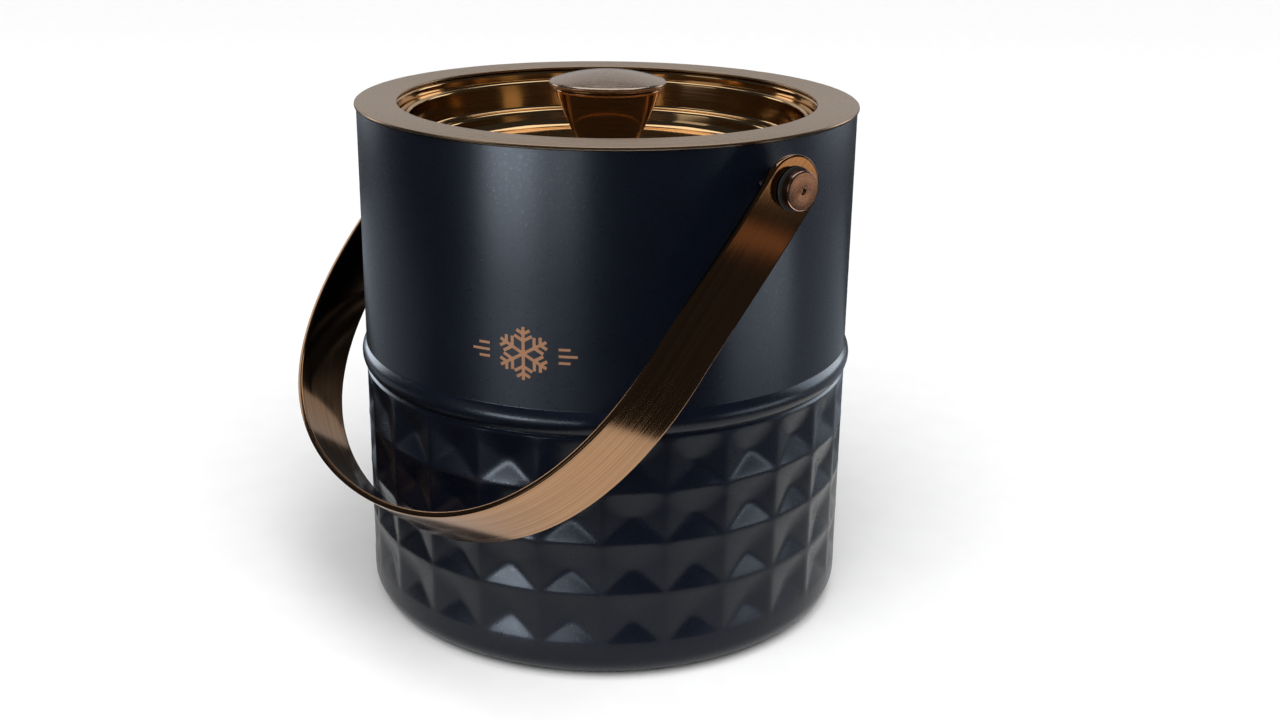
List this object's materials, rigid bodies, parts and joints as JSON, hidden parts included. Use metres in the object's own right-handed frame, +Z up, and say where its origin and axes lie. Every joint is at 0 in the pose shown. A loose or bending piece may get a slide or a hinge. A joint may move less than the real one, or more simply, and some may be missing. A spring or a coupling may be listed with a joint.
{
  "type": "ice bucket",
  "caption": "Round double-wall ice bucket with a dished lift-off lid and knob, an embossed lower wall and a strap handle that swings over the top.",
  "frame": {"origin": "centre of the underside of the base pad, on the surface that the bucket stands on", "axes": "+Z up along the bucket's axis, X along the handle's pivot axis, -Y towards the side where the handle hangs"},
  "size_m": [0.2228, 0.2097, 0.2064],
  "materials": {
    "shell_coating": "fine-textured semi-gloss black powder coat",
    "rim_metal": "satin rose bronze",
    "copper_lining": "polished copper plating on steel",
    "knob_metal": "polished dark copper",
    "cap_metal": "satin rose bronze with a fine circular grain",
    "strap_metal": "lengthwise brushed bronze",
    "stud_metal": "lathe-turned pinkish copper",
    "steel": "plain stainless steel",
    "rubber": "matte black non-slip rubber",
    "silicone": "translucent silicone",
    "nylon": "black nylon",
    "foam": "white expanded foam"
  },
  "bodies": {
    "bucket": {"outer_shell": "shell_coating", "rim_ring": "rim_metal", "inner_liner": "copper_lining", "base_plate": "steel", "base_pad": "rubber", "left_pivot_stud": "stud_metal", "left_pivot_washer": "nylon", "left_pivot_spacer": "stud_metal", "left_backing_washer": "steel", "left_pivot_nut": "steel", "right_pivot_stud": "stud_metal", "right_pivot_washer": "nylon", "right_pivot_spacer": "stud_metal", "right_backing_washer": "steel", "right_pivot_nut": "steel"},
    "lid": {"lid_pan": "copper_lining", "lid_underside": "copper_lining", "lid_insulation": "foam", "lid_seal": "silicone", "knob_stem": "knob_metal", "knob_cap": "cap_metal", "knob_screw": "steel", "knob_washer": "steel"},
    "handle": {"handle_strap": "strap_metal"}
  },
  "joints": [
    {"name": "handle_swing", "type": "hinge", "parent": "bucket", "child": "handle", "pos_m": [0, 0, 0.1812], "axis": [-1, 0, 0], "range_deg": [0, 279.5]},
    {"name": "lid_lift", "type": "slide", "parent": "bucket", "child": "lid", "axis": [0, 0, 1], "range_m": [0, 0.12]}
  ]
}
